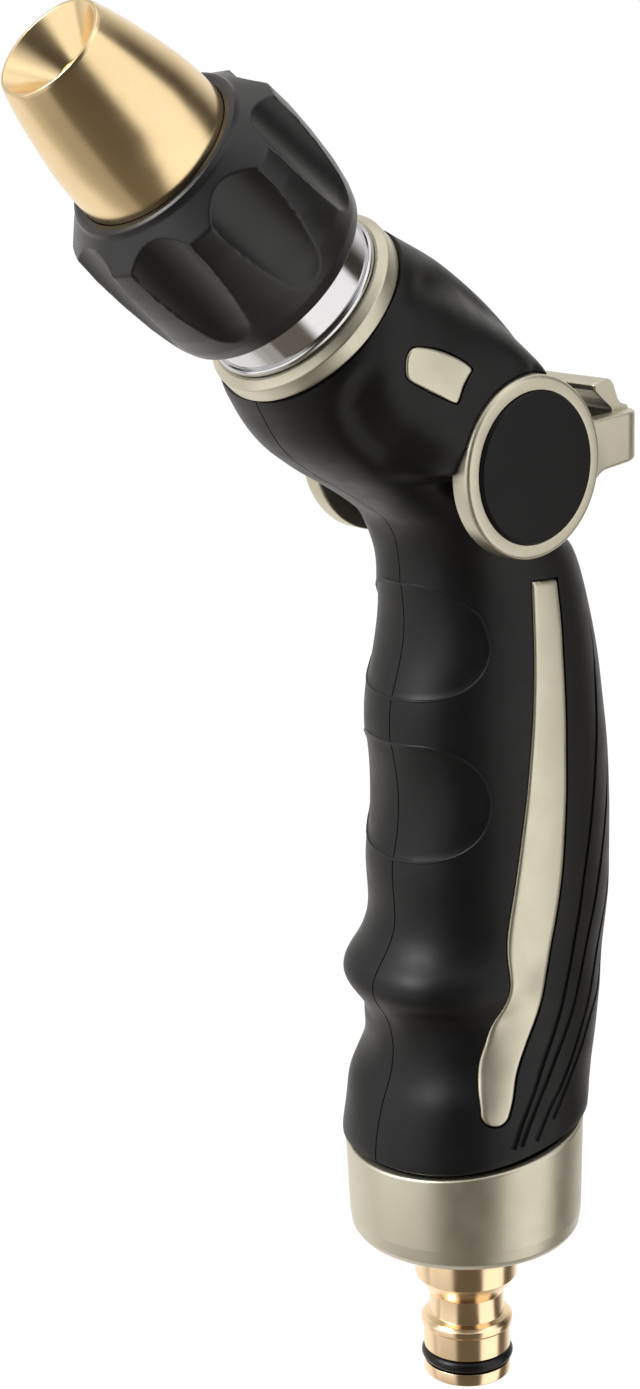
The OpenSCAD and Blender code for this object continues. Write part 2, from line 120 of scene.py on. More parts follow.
def finish_material(name, light, dark, rough, metallic=0.0, grain=0.0, grain_scale=4000.0, specular=0.5,
                    sheen=0.0, turned=None):
    """A coloured finish: broad tone variation, uneven gloss, and a fine grain in the surface."""
    mat = bpy.data.materials.new(name)
    mat.use_nodes = True
    tree = mat.node_tree
    shader = tree.nodes["Principled BSDF"]
    coords = node(tree, "ShaderNodeTexCoord").outputs["Object"]
    broad = noise(tree, coords, BROAD_SCALE, 3.0)
    fine = noise(tree, coords, grain_scale, 2.0)
    mix = node(tree, "ShaderNodeMix", data_type="RGBA")
    mix.inputs["A"].default_value = (*dark, 1)
    mix.inputs["B"].default_value = (*light, 1)
    tone = node(tree, "ShaderNodeMath", operation="ADD")
    tree.links.new(ranged(tree, broad, NOISE_LOW, NOISE_HIGH, 0.0, 0.5), tone.inputs[0])
    tree.links.new(ranged(tree, fine, NOISE_LOW, NOISE_HIGH, 0.0, 0.5), tone.inputs[1])
    tree.links.new(tone.outputs[0], mix.inputs["Factor"])
    tree.links.new(mix.outputs["Result"], shader.inputs["Base Color"])
    spots = noise(tree, coords, SPOT_SCALE, 4.0)
    gloss = ranged(tree, spots, NOISE_LOW, NOISE_HIGH, rough[0], rough[1])
    tree.links.new(gloss, shader.inputs["Roughness"])
    shader.inputs["Metallic"].default_value = metallic
    shader.inputs["Specular IOR Level"].default_value = specular
    shader.inputs["Sheen Weight"].default_value = sheen
    if grain > 0:
        bump = node(tree, "ShaderNodeBump")
        bump.inputs["Strength"].default_value = 1.0
        bump.inputs["Distance"].default_value = grain * MM
        height = fine
        if turned is not None:
            height = turning_marks(tree, coords, turned, fine)
        tree.links.new(height, bump.inputs["Height"])
        tree.links.new(bump.outputs["Normal"], shader.inputs["Normal"])
    return mat


def turning_marks(tree, coords, turned, fine):
    """Fine rings across an axis, as a lathe leaves them, for the height of a bump."""
    axis, per_metre = turned
    dot = node(tree, "ShaderNodeVectorMath", operation="DOT_PRODUCT")
    dot.inputs[1].default_value = axis
    tree.links.new(coords, dot.inputs[0])
    along = node(tree, "ShaderNodeCombineXYZ")
    tree.links.new(dot.outputs["Value"], along.inputs["X"])
    rings = noise(tree, along.outputs["Vector"], per_metre, 3.0)
    both = node(tree, "ShaderNodeMath", operation="MULTIPLY_ADD")
    tree.links.new(fine, both.inputs[0])
    both.inputs[1].default_value = 0.25
    tree.links.new(rings, both.inputs[2])
    return both.outputs[0]


MATERIALS = {
    "grip": finish_material("grip_skin", (0.005, 0.005, 0.0055), (0.0036, 0.0036, 0.004), (0.39, 0.47),
                            grain=0.010, grain_scale=3600, specular=0.27, sheen=0.006),
    "champagne": finish_material("champagne_satin", (0.62, 0.59, 0.475), (0.555, 0.53, 0.42), (0.33, 0.41),
                                 metallic=0.9, grain=0.003, grain_scale=5200),
    "gold": finish_material("satin_gold", (0.84, 0.655, 0.39), (0.78, 0.595, 0.34), (0.20, 0.25),
                            metallic=1.0, grain=0.0003, turned=(tuple(BARREL), 5200.0)),
    "brass": finish_material("polished_brass", (0.95, 0.74, 0.49), (0.90, 0.67, 0.42), (0.15, 0.22),
                             metallic=1.0, grain=0.001, turned=(tuple(UP), 4200.0)),
    "chrome": finish_material("bright_chrome", (0.64, 0.64, 0.66), (0.58, 0.58, 0.60), (0.07, 0.12),
                              metallic=1.0, grain=0.0004),
    "collar": finish_material("collar_black", (0.012, 0.012, 0.013), (0.009, 0.009, 0.0095), (0.30, 0.38),
                              grain=0.004, grain_scale=3000, specular=0.42),
    "cap": finish_material("cap_black", (0.0060, 0.0060, 0.0065), (0.0045, 0.0045, 0.005), (0.38, 0.46),
                           grain=0.006, grain_scale=5000, specular=0.2),
    "seal": finish_material("seal_rubber", (0.006, 0.006, 0.0065), (0.004, 0.004, 0.0045), (0.28, 0.36),
                            grain=0.002, specular=0.3),
    "zinc": finish_material("cast_zinc", (0.56, 0.57, 0.58), (0.48, 0.49, 0.50), (0.38, 0.50), metallic=1.0,
                            grain=0.01, grain_scale=2200),
    "moulding": finish_material("moulded_grey", (0.055, 0.057, 0.06), (0.045, 0.047, 0.05), (0.42, 0.52),
                                grain=0.008, grain_scale=2600),
}


# ---------------------------------------------------------------- mesh helpers
def make_piece(name, verts, faces, body, slot, replaced, smooth_angle=32.0):
    """A piece from points in millimetres and faces, riding on a body in place of a CAD node."""
    mesh = bpy.data.meshes.new(name)
    mesh.from_pydata((np.asarray(verts, float) * MM).tolist(), [], [list(map(int, f)) for f in faces])
    mesh.update()
    obj = placed(name, mesh)
    finish_mesh(obj, smooth_angle)
    if body is not None:
        adopt(obj, body, slot, replaced)
    return obj


def adopt(obj, body, slot, replaced):
    obj.data.materials.clear()
    obj.data.materials.append(MATERIALS[slot])
    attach(obj, body)
    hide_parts(replaced)


def finish_mesh(obj, smooth_angle=32.0):
    mesh = obj.data
    mesh.polygons.foreach_set("use_smooth", np.ones(len(mesh.polygons), bool))
    mesh.set_sharp_from_angle(angle=math.radians(smooth_angle))


def combine(obj, other, operation):
    """Adds, cuts or keeps what is common with another closed mesh, and drops the other."""
    mod = obj.modifiers.new("combine", "BOOLEAN")
    mod.operation = operation
    mod.solver = "MANIFOLD"
    mod.object = other
    bpy.context.view_layer.update()
    graph = bpy.context.evaluated_depsgraph_get()
    fresh = bpy.data.meshes.new_from_object(obj.evaluated_get(graph))
    if len(fresh.polygons) == 0:
        raise RuntimeError(f"combining {obj.name} with {other.name} left nothing")
    obj.modifiers.clear()
    old, obj.data = obj.data, fresh
    bpy.data.meshes.remove(old)
    bpy.data.objects.remove(other)
    return obj


def mirrored(obj, name):
    """The same mesh on the other side of the middle plane, with its faces turned the right way."""
    mesh = obj.data.copy()
    mesh.transform(Matrix.Diagonal((1, -1, 1, 1)))
    mesh.flip_normals()
    return placed(name, mesh)


def fillet(corners, steps=5):
    """A closed outline with its corners rounded. Each corner is (a, b, radius)."""
    out = []
    count = len(corners)
    for i, (a, b, radius) in enumerate(corners):
        here = np.array([a, b])
        before = np.array(corners[i - 1][:2]) - here
        after = np.array(corners[(i + 1) % count][:2]) - here
        before_len, after_len = np.linalg.norm(before), np.linalg.norm(after)
        before, after = before / before_len, after / after_len
        half = math.acos(float(np.clip(before @ after, -1, 1))) / 2
        if radius <= 0 or half > math.radians(88):
            out.append(here)
            continue
        reach = min(radius / math.tan(half), 0.48 * before_len, 0.48 * after_len)
        radius = reach * math.tan(half)
        middle = before + after
        centre = here + middle / np.linalg.norm(middle) * radius / math.sin(half)
        start, end = here + before * reach - centre, here + after * reach - centre
        turn = math.atan2(start[0] * end[1] - start[1] * end[0], float(start @ end))
        for k in range(steps + 1):
            c, s = math.cos(turn * k / steps), math.sin(turn * k / steps)
            out.append(centre + np.array([c * start[0] - s * start[1], s * start[0] + c * start[1]]))
    return np.array(out)


def ring_faces(rows, cols, closed_rows=True, closed_cols=True):
    """Quads between rows and columns of a grid."""
    faces = []
    for i in range(rows if closed_rows else rows - 1):
        for j in range(cols if closed_cols else cols - 1):
            a, b = i * cols, (i + 1) % rows * cols
            k = (j + 1) % cols
            faces.append((a + j, a + k, b + k, b + j))
    return faces


def lathe(outline, origin, axis, up, steps=ROUND, shear=None):
    """A solid turned about an axis from a closed outline of (radius, distance along the axis)."""
    outline = np.asarray(outline)
    across = np.cross(axis, up)
    angles = np.arange(steps) * 2 * math.pi / steps
    verts = []
    for t in angles:
        radial = math.cos(t) * np.asarray(up) + math.sin(t) * across
        s = outline[:, 1]
        if shear is not None:
            s = shear(outline[:, 0], s, t)
        verts.append(origin + outline[:, :1] * radial + s[:, None] * np.asarray(axis))
    faces = ring_faces(steps, len(outline))
    if signed_area(outline) < 0:
        faces = [f[::-1] for f in faces]
    return np.concatenate(verts), faces


def signed_area(outline):
    x, y = outline[:, 0], outline[:, 1]
    return 0.5 * float(np.sum(x * np.roll(y, -1) - np.roll(x, -1) * y))


def turned_piece(name, corners, body, slot, replaced, steps=ROUND, angle=32.0):
    """A piece turned about the barrel's axis, distances counted from the lever's pivot."""
    verts, faces = lathe(fillet(corners), PIVOT, BARREL, BARREL_UP, steps)
    return make_piece(name, verts, faces, body, slot, replaced, angle)


def curve_between(a, b, c, d, t):
    """A smooth curve's place between b and c, with a and d as its neighbours."""
    return 0.5 * (2 * b + (c - a) * t + (2 * a - 5 * b + 4 * c - d) * t * t
                  + (3 * b - a - 3 * c + d) * t ** 3)


def run_along(points):
    """The length along a line up to each of its points."""
    return np.concatenate([[0], np.cumsum(np.linalg.norm(np.diff(points, axis=0), axis=1))])


def respaced(points, run, count):
    """The same line with evenly spaced points."""
    at = np.linspace(0, run[-1], count)
    return np.stack([np.interp(at, run, points[:, k]) for k in range(points.shape[1])], axis=1)


def spline(points, count):
    """Evenly spaced points on a smooth curve through the given ones."""
    points = np.asarray(points, float)
    padded = np.vstack([2 * points[0] - points[1], points, 2 * points[-1] - points[-2]])
    dense = []
    for i in range(1, len(padded) - 2):
        a, b, c, d = padded[i - 1 : i + 3]
        dense += [curve_between(a, b, c, d, t) for t in np.linspace(0, 1, 16, endpoint=False)]
    dense.append(points[-1])
    dense = np.array(dense)
    return respaced(dense, run_along(dense), count)


def smoothstep(low, high, value):
    t = np.clip((value - low) / (high - low), 0, 1)
    return t * t * (3 - 2 * t)


# ---------------------------------------------------------------- grip surface
# Sections of the grip: the front point's x and z, the rear point's x and z, half width
STATIONS = np.array([
    [17.4, 34, -17.4, 34, 17.2], [17.4, 46.6, -17.4, 51.6, 17.2], [20.6, 47.2, -21.2, 52.6, 20.0],
    [21.3, 48.6, -22.0, 54.2, 20.3], [20.7, 53.3, -22.8, 57, 19.7], [19.2, 58.5, -23.6, 61, 19.3],
    [17.3, 63, -24.3, 65, 19.2], [16.6, 68, -25.2, 69.5, 19.0], [17.7, 73, -26.2, 73.5, 18.8],
    [20.2, 76.8, -27.0, 77.2, 18.5], [21.2, 79.5, -27.6, 80, 18.3], [20.2, 82.3, -28.2, 83, 18.1],
    [17.4, 86, -28.8, 87, 17.9], [15.6, 90.5, -29.2, 91.5, 17.9], [16.0, 99, -29.4, 99.5, 17.9],
    [15.5, 106, -29.5, 107, 17.7], [15.6, 116.5, -29.2, 116.5, 17.4], [15.9, 126.5, -28.1, 125.5, 17.1],
    [14.7, 134.5, -26.9, 134, 16.5], [13.3, 143, -25.0, 142.5, 15.6], [12.9, 149.5, -22.9, 149.5, 14.9],
    [13.0, 153, -20.4, 153.8, 14.7], [13.4, 155.8, -16.4, 155.4, 14.8], [14.2, 158.4, -12.9, 158.6, 15.1],
    [15.9, 160.9, -14.9, 162, 15.5], [18.3, 162.7, -17.0, 167.5, 16.1], [21.6, 164.9, -16.7, 173.8, 16.9],
    [25.5, 167.3, -14.3, 178.6, 17.8], [29.2, 169.4, -12.4, 182.9, 18.6], [32.6, 171.6, -9.4, 187.3, 18.9],
    [35.5, 173.7, -5.2, 192.1, 19.1], [37.8, 176.0, 0.2, 197.0, 19.2], [39.5, 178.3, 5.9, 201.3, 19.2],
    [40.8, 180.5, 11.0, 204.7, 18.9], [41.9, 182.4, 17.0, 207.8, 18.1], [42.5, 183.6, 19.5, 209.2, 17.2]])
SQUARENESS = 2.3
TYPICAL_SECTION = (22.0, 17.5)
ROW_STEP = 0.55
COLUMN_STEP = 0.58
SKIP = 4
GRIP_WALL = 3.0
SEAM_HALF = 0.13
SEAM_FADE = 0.34
SEAM_DEPTH = 0.2
SAMPLE_COLUMN = 60


def dense_sections():
    """Sections blended between the stations and respaced evenly along the grip."""
    rows = []
    last = len(STATIONS) - 1
    for i in range(last):
        a, b, c, d = (STATIONS[min(max(i + k, 0), last)] for k in (-1, 0, 1, 2))
        rows += [curve_between(a, b, c, d, t) for t in np.linspace(0, 1, 24, endpoint=False)]
    rows.append(STATIONS[-1])
    rows = np.array(rows)
    front = np.linalg.norm(np.diff(rows[:, :2], axis=0), axis=1)
    rear = np.linalg.norm(np.diff(rows[:, 2:4], axis=0), axis=1)
    run = np.concatenate([[0], np.cumsum((front + rear) / 2)])
    count = int(run[-1] / ROW_STEP) // SKIP * SKIP + 1
    rows = respaced(rows, run, count)
    kernel = np.array([1, 4, 6, 4, 1]) / 16
    for _ in range(3):
        padded = np.vstack([2 * rows[0] - rows[2], 2 * rows[0] - rows[1], rows,
                            2 * rows[-1] - rows[-2], 2 * rows[-1] - rows[-3]])
        soft = sum(kernel[k] * padded[k : k + count] for k in range(5))
        keep = smoothstep(47.5, 52.0, rows[:, 1])[:, None]
        rows = rows * (1 - keep) + soft * keep
    return rows


def section_turns():
    """Angles round half a section, evenly spaced along it, with narrow steps beside the seams."""
    t = np.linspace(0, math.pi, 4001)
    shape = section_curve(t) * np.array(TYPICAL_SECTION)
    run = run_along(shape)
    count = int(run[-1] / COLUMN_STEP) // SKIP * SKIP + 1
    inner = np.linspace(SEAM_FADE, run[-1] - SEAM_FADE, count - 4)
    at = np.concatenate([[0, SEAM_HALF], inner, [run[-1] - SEAM_HALF, run[-1]]])
    return np.interp(at, run, t)


def section_curve(t):
    power = 2 / SQUARENESS
    return np.stack([np.sign(np.cos(t)) * np.abs(np.cos(t)) ** power, np.abs(np.sin(t)) ** power], axis=1)


def grip_grid(inset=0.0):
    """Points of the left half of the grip as rows and columns, pulled in by inset."""
    rows = dense_sections()
    curve = section_curve(section_turns())
    front = np.stack([rows[:, 0], rows[:, 1]], axis=1)
    rear = np.stack([rows[:, 2], rows[:, 3]], axis=1)
    middle, half = (front + rear) / 2, (front - rear) / 2
    reach = half * (1 - inset / np.linalg.norm(half, axis=1))[:, None]
    grid = np.zeros((len(rows), len(curve), 3))
    grid[:, :, 0] = middle[:, :1] + reach[:, :1] * curve[None, :, 0]
    grid[:, :, 2] = middle[:, 1:] + reach[:, 1:] * curve[None, :, 0]
    grid[:, :, 1] = (rows[:, 4:5] - inset) * curve[None, :, 1]
    return grid


def grid_normals(grid):
    along = np.gradient(grid, axis=0)
    across = np.gradient(grid, axis=1)
    normal = np.cross(along, across)
    normal[:, 0, 1] = 0
    normal[:, -1, 1] = 0
    normal /= np.linalg.norm(normal, axis=2)[:, :, None]
    sample = slice(SAMPLE_COLUMN, SAMPLE_COLUMN + 1)
    return normal * np.sign(normal[:, sample, 1:2]) * np.sign(grid[:, sample, 1:2])


# Outlines of the two finger pads on the left half, from the front seam round to the seam again
PADS = [
    [(12.9, 0, 149.7), (12.4, 4.4, 149.7), (11.0, 7.7, 148.8), (9.0, 10.4, 147.3), (6.6, 12.5, 144.8),
     (5.6, 13.6, 141.2), (5.5, 13.8, 138.6), (6.4, 13.7, 136.2), (8.0, 13.1, 134.1), (10.4, 11.6, 132.2),
     (12.7, 9.1, 131.1), (14.3, 6.0, 130.6), (15.2, 2.0, 130.3), (15.3, 0, 130.3)],
    [(15.65, 0, 122.6), (15.5, 2.2, 122.7), (14.5, 7.1, 122.9), (12.6, 10.1, 122.3), (10.4, 12.4, 120.7),
     (8.3, 13.9, 118.2), (7.0, 14.6, 115.4), (6.6, 14.8, 112.5), (7.2, 14.6, 109.3), (8.8, 13.7, 106.5),
     (11.2, 11.9, 104.4), (13.3, 9.2, 103.1), (14.9, 5.9, 102.4), (15.6, 1.7, 102.0), (15.7, 0, 102.0)]]

# Centre lines of the long grooves behind the side trim, from the top down
GROOVES = [
    [(-19.0, 13.0, 141.0), (-19.2, 13.3, 136.4), (-18.8, 14.4, 129.6), (-18.2, 15.2, 122.6),
     (-17.1, 16.0, 115.9), (-15.8, 16.6, 109.1), (-14.2, 17.1, 102.3), (-12.5, 17.5, 95.5),
     (-11.0, 17.6, 88.6), (-9.0, 17.8, 81.8), (-6.3, 18.5, 75.3), (-3.9, 18.9, 70.5), (-1.7, 18.9, 66.5),
     (0.9, 19.0, 61.7), (3.4, 19.0, 57.8), (6.6, 19.3, 51.6)],
    [(-23.0, 12.4, 117.0), (-22.2, 13.6, 111.0), (-20.6, 15.0, 104.0), (-18.9, 15.9, 98.6),
     (-17.1, 16.5, 93.2), (-15.0, 16.9, 87.0), (-12.6, 17.3, 80.6), (-9.7, 18.2, 74.8),
     (-6.7, 18.8, 69.7), (-4.2, 19.1, 65.9), (-1.7, 19.1, 61.9), (1.1, 19.2, 58.1), (5.1, 19.8, 51.8)],
    [(-24.2, 12.2, 97.5), (-22.4, 13.8, 91.5), (-20.0, 15.2, 85.0), (-17.1, 16.2, 78.6), (-13.7, 17.5, 73.0),
     (-10.6, 18.4, 68.3), (-7.9, 18.9, 63.9), (-5.1, 19.1, 59.9), (-2.3, 19.4, 57.0), (1.8, 19.9, 52.0)],
    [(-23.2, 12.6, 82.0), (-20.8, 14.2, 77.4), (-17.9, 15.8, 73.2), (-14.6, 17.2, 70.0), (-11.6, 18.1, 66.0),
     (-8.4, 18.8, 61.7), (-5.5, 19.2, 58.0), (-2.6, 19.8, 54.6)]]


# Waves on the flank below the finger pads: height up the handle, half length, how far each stands out
SWELLS = [(81.0, 3.4, 0.7), (73.6, 3.2, -0.9), (59.5, 4.2, 0.7), (66.8, 3.6, -0.5)]


PAD_RIM = 0.2
PAD_BOWL = 1.1
PAD_CLOSE = -29


def pad_depth(grid):
    """How far each finger pad is scooped in, shallow at its rim and deepest in its middle."""
    depth = np.zeros(grid.shape[:2])
    flat = np.stack([(grid[:, :, 1] - grid[:, :, 0]) / math.sqrt(2), grid[:, :, 2]], axis=2)
    for outline in PADS:
        points = spline(outline, 60)
        edge = np.stack([(points[:, 1] - points[:, 0]) / math.sqrt(2), points[:, 2]], axis=1)
        edge = np.vstack([edge, (PAD_CLOSE, edge[-1, 1]), (PAD_CLOSE, edge[0, 1])])
        inside = signed_distance(flat, edge, (-30, 10))
        low, high = points[:, 2].min(), points[:, 2].max()
        share = np.clip((grid[:, :, 2] - low) / (high - low), 0, 1)
        fade = smoothstep(0.0, 14.0, edge[:, 0].max() - flat[:, :, 0])
        bowl = smoothstep(0.0, 1.0, inside) * PAD_RIM + fade * PAD_BOWL * np.sin(math.pi * share) ** 1.3
        depth = np.maximum(depth, np.where(inside > 0, bowl, 0))
    return depth


def signed_distance(points, outline, reach, margin=2):
    """Distance inside a closed outline, negative outside, for a grid of flat points."""
    shape = points.shape[:2]
    flat = points.reshape(-1, 2)
    near = (flat[:, 0] > reach[0]) & (flat[:, 0] < reach[1])
    near &= (flat[:, 1] > outline[:, 1].min() - margin) & (flat[:, 1] < outline[:, 1].max() + margin)
    out = np.full(len(flat), -99.0)
    p = flat[near]
    best = np.full(len(p), 1e9)
    crossings = np.zeros(len(p), int)
    for a, b in zip(outline, np.roll(outline, -1, axis=0)):
        span = b - a
        t = np.clip(((p - a) @ span) / max(float(span @ span), 1e-12), 0, 1)
        best = np.minimum(best, np.linalg.norm(p - (a + t[:, None] * span), axis=1))
        if a[1] != b[1]:
            between = (p[:, 1] > min(a[1], b[1])) & (p[:, 1] <= max(a[1], b[1]))
            x = a[0] + (p[:, 1] - a[1]) * span[0] / span[1]
            crossings += between & (x > p[:, 0])
    out[near] = np.where(crossings % 2 == 1, best, -best)
    return out.reshape(shape)


def flank_swell(grid):
    """The soft waves that carry the finger hump and the lower swell round to the side trim."""
    z = grid[:, :, 2]
    wave = sum(height * np.exp(-((z - place) / size) ** 2) for place, size, height in SWELLS)
    flank = smoothstep(2.0, 13.0, grid[:, :, 1]) * smoothstep(-3.0, 7.0, grid[:, :, 0])
    return wave * flank


# Outline of the raised cheek round the head inlay, in the middle plane's x and z
CHEEK = [(2.3, 186.4), (4.1, 189.2), (8.0, 193.0), (12.2, 195.0), (16.7, 196.4), (21.3, 197.1), (24.9, 197.1),
         (28.0, 196.2), (30.0, 194.7), (31.3, 192.8), (31.8, 190.6), (31.6, 187.8), (30.7, 185.0),
         (29.3, 182.7), (27.5, 180.7), (23.8, 177.9), (19.7, 176.0), (10.0, 172.0)]
TRENCH_DEPTH = 1.5
TRENCH_AWAY = 3.8
TRENCH_WIDTH = 2.8
SHOULDER_Y = 19.8


def cheek_trench(grid):
    """The shallow hollow that runs round the cheek and fades out before the bezel."""
    flat = np.stack([grid[:, :, 0], grid[:, :, 2]], axis=2)
    inside = signed_distance(flat, np.array(CHEEK), (-15, 50), 18)
    along = (grid - PIVOT) @ BARREL
    fade = smoothstep(39.5, 33.5, along) * smoothstep(8.0, 14.0, grid[:, :, 1])
    return fade * TRENCH_DEPTH * np.exp(-((inside + TRENCH_AWAY) / TRENCH_WIDTH) ** 2)


def shoulder_rise(grid):
    """How far the skin stands out where it hugs the upper front of the lever's ear."""
    dx, dz = grid[:, :, 0] - PIVOT[0], grid[:, :, 2] - PIVOT[2]
    away = np.hypot(dx, dz)
    turn = np.degrees(np.arctan2(dz, dx))
    near = smoothstep(27.0, 15.4, away) * smoothstep(-4.0, 4.0, turn) * smoothstep(138.0, 104.0, turn)
    flank = smoothstep(11.0, 15.5, grid[:, :, 1])
    return near * flank * np.maximum(SHOULDER_Y - grid[:, :, 1], 0)


def seam_depth(grid):
    depth = np.zeros(grid.shape[:2])
    depth[:, [0, -1]] = SEAM_DEPTH
    return depth


OUTER = grip_grid()
NORMALS = grid_normals(OUTER)
SURFACE_GRID = OUTER + NORMALS * (flank_swell(OUTER) - pad_depth(OUTER))[:, :, None]
SURFACE_GRID[:, :, 1] += shoulder_rise(OUTER) - cheek_trench(OUTER)
SURFACE_ROWS, SURFACE_COLS = SURFACE_GRID.shape[:2]
SURFACE = BVHTree.FromPolygons([tuple(v) for v in SURFACE_GRID.reshape(-1, 3)],
                               ring_faces(SURFACE_ROWS, SURFACE_COLS, False, False))


def surface_y(x, z):
    hit = SURFACE.ray_cast(Vector((x, 60, z)), Vector((0, -1, 0)))[0]
    if hit is None:
        hit = SURFACE.find_nearest(Vector((x, 15, z)))[0]
    return hit[1]


def shell_half():
    """The left half of the grip as a closed shell: fine outside, coarser inside."""
    grid = SURFACE_GRID - NORMALS * seam_depth(OUTER)[:, :, None]
    inner = grip_grid(GRIP_WALL)[::SKIP, ::SKIP]
    rows, cols = grid.shape[:2]
    in_rows, in_cols = inner.shape[:2]
    base = rows * cols
    faces = ring_faces(rows, cols, False, False)
    faces += [tuple(base + k for k in f[::-1]) for f in ring_faces(in_rows, in_cols, False, False)]
    outer_at = lambda i, j: i * cols + j
    inner_at = lambda i, j: base + i * in_cols + j
    for j in range(in_cols - 1):
        steps = range(SKIP + 1)
        low = [outer_at(0, j * SKIP + k) for k in steps]
        high = [outer_at(rows - 1, j * SKIP + k) for k in steps]
        faces.append((*low[::-1], inner_at(0, j), inner_at(0, j + 1)))
        faces.append((*high, inner_at(in_rows - 1, j + 1), inner_at(in_rows - 1, j)))
    for i in range(in_rows - 1):
        steps = range(SKIP + 1)
        front = [outer_at(i * SKIP + k, 0) for k in steps]
        rear = [outer_at(i * SKIP + k, cols - 1) for k in steps]
        faces.append((*front, inner_at(i + 1, 0), inner_at(i, 0)))
        faces.append((*rear[::-1], inner_at(i, in_cols - 1), inner_at(i + 1, in_cols - 1)))
    verts = np.concatenate([grid.reshape(-1, 3), inner.reshape(-1, 3)])
    obj = make_piece("grip_left", verts, faces, None, None, None)
    return outward(obj)


def outward(obj):
    """Winds a closed mesh's faces so that they all look outwards."""
    work = bmesh.new()
    work.from_mesh(obj.data)
    bmesh.ops.recalc_face_normals(work, faces=work.faces)
    work.to_mesh(obj.data)
    work.free()
    return obj


def tube(name, path, radius):
    """A round bar along a path, its radius one number or one for each point."""
    path = np.asarray(path)
    count, around = len(path), 10
    tangent = np.gradient(path, axis=0)
    tangent /= np.linalg.norm(tangent, axis=1)[:, None]
    side = np.cross(tangent, [0.3, 0.9, 0.31])
    side /= np.linalg.norm(side, axis=1)[:, None]
    other = np.cross(tangent, side)
    verts = []
    for i in range(count):
        size = radius[i] if np.ndim(radius) else radius
        for k in range(around):
            t = 2 * math.pi * k / around
            verts.append(path[i] + size * (math.cos(t) * side[i] + math.sin(t) * other[i]))
    faces = ring_faces(count, around, False, True)
    faces.append(tuple(range(around))[::-1])
    faces.append(tuple((count - 1) * around + k for k in range(around)))
    return outward(make_piece(name, verts, faces, None, None, None))


def on_surface(points, lift):
    """Points laid on the grip's skin, lifted along its normal by lift."""
    out = []
    for p in points:
        place, normal = SURFACE.find_nearest(Vector(p))[:2]
        if normal.y < 0 and p[1] > 1:
            normal = -normal
        outwards = Vector((place.x, place.y, 0))
        if normal.dot(outwards) < 0:
            normal = -normal
        out.append(np.array(place + normal * lift))
    return np.array(out)


# ---------------------------------------------------------------- trims on the skin
# Side trim: centre line and half width, from the lower round end up to its slanted top
TRIM_PATH = [(9.2, 58.6, 2.3), (8.6, 61, 2.6), (7.5, 64.3, 2.8), (6.3, 67.8, 3.2), (4.9, 71.5, 3.4),
             (3.3, 75, 3.6), (1.8, 79.4, 3.9), (0.2, 86.5, 4.5), (-1.0, 92, 4.8), (-2.1, 98, 4.9),
             (-3.2, 105, 4.7), (-4.2, 112.6, 4.4), (-4.8, 120, 4.05), (-5.3, 127, 3.75), (-5.8, 135, 3.4),
             (-6.2, 142, 3.25), (-6.3, 149.15, 2.95)]
TRIM_ROWS = 170
TRIM_COLS = 15
TRIM_PROUD = 0.16
TRIM_SUNK = -1.05
POCKET_TOP = 2.0
POCKET_FLOOR = -1.15

# Outline of the head inlay, in the middle plane's x and z
INLAY_CENTRE = np.array([21.2, 187.3])
INLAY = [(27.4, 190.6), (26.6, 191.6), (25.1, 191.9), (22.1, 191.3), (18.9, 190.2), (16.2, 188.9),
         (14.2, 187.4), (14.9, 186.4), (16.1, 184.9), (17.2, 182.8), (18.0, 182.4), (20.9, 183.8),
         (24.1, 185.4), (26.7, 186.8), (27.5, 187.8), (27.6, 189.4)]


def edge_drop(distance, chamfer, depth):
    """How far a raised piece's top is rounded down near its edge."""
    t = np.clip(1 - distance / chamfer, 0, 1)
    return depth * (1 - np.sqrt(np.maximum(1 - t * t, 0)))


def trim_solid(name, grow, top, bottom, chamfer):
    """The long side strip laid on the skin, or the cutter for its pocket when grown."""
    path = spline(TRIM_PATH, TRIM_ROWS)
    path[:, 2] += grow
    start, heading = path[0, :2], path[1, :2] - path[0, :2]
    heading /= np.linalg.norm(heading)
    radius = path[0, 2]
    cap = [np.array([*(start - heading * radius * math.cos(a)), max(radius * math.sin(a), 0.12)])
           for a in np.linspace(0.0, math.pi / 2, 14, endpoint=False)]
    path = np.vstack([cap, path])
    if grow > 0:
        path = np.vstack([path, path[-1] + [path[-1][0] - path[-2][0], grow, 0]])
    tangent = np.gradient(path[:, :2], axis=0)
    tangent[: len(cap)] = heading
    tangent /= np.linalg.norm(tangent, axis=1)[:, None]
    blend = smoothstep(146.0, 149.0, path[:, 1])[:, None]
    tangent = tangent * (1 - blend) + np.array([-0.08, 1.0]) * blend
    tangent /= np.linalg.norm(tangent, axis=1)[:, None]
    normal = np.stack([tangent[:, 1], -tangent[:, 0]], axis=1)
    q = np.sin(np.linspace(-math.pi / 2, math.pi / 2, TRIM_COLS))
    tops, bottoms = [], []
    length = len(path)
    run = run_along(path[:, :2])
    for i in range(length):
        for side in q:
            x, z = path[i, :2] + normal[i] * side * path[i, 2]
            y = surface_y(x, z)
            to_edge = min(path[i, 2] * (1 - abs(side)), run[-1] - run[i], run[i] + 0.02)
            drop = edge_drop(to_edge, chamfer, top + 0.25) if chamfer > 0 else 0
            tops.append((x, y + top - drop, z))
            bottoms.append((x, y + bottom, z))
    return slab(name, tops, bottoms, length, len(q))


def slab(name, tops, bottoms, rows, cols):
    """A closed solid between two grids of points with the same rows and columns."""
    base = rows * cols
    faces = ring_faces(rows, cols, False, False)
    faces += [tuple(base + k for k in f[::-1]) for f in faces]
    edge = list(range(cols))
    edge += [i * cols + cols - 1 for i in range(1, rows)]
    edge += [(rows - 1) * cols + j for j in range(cols - 2, -1, -1)]
    edge += [i * cols for i in range(rows - 2, 0, -1)]
    for a, b in zip(edge, edge[1:] + edge[:1]):
        faces.append((b, a, base + a, base + b))
    return outward(make_piece(name, tops + bottoms, faces, None, None, None))


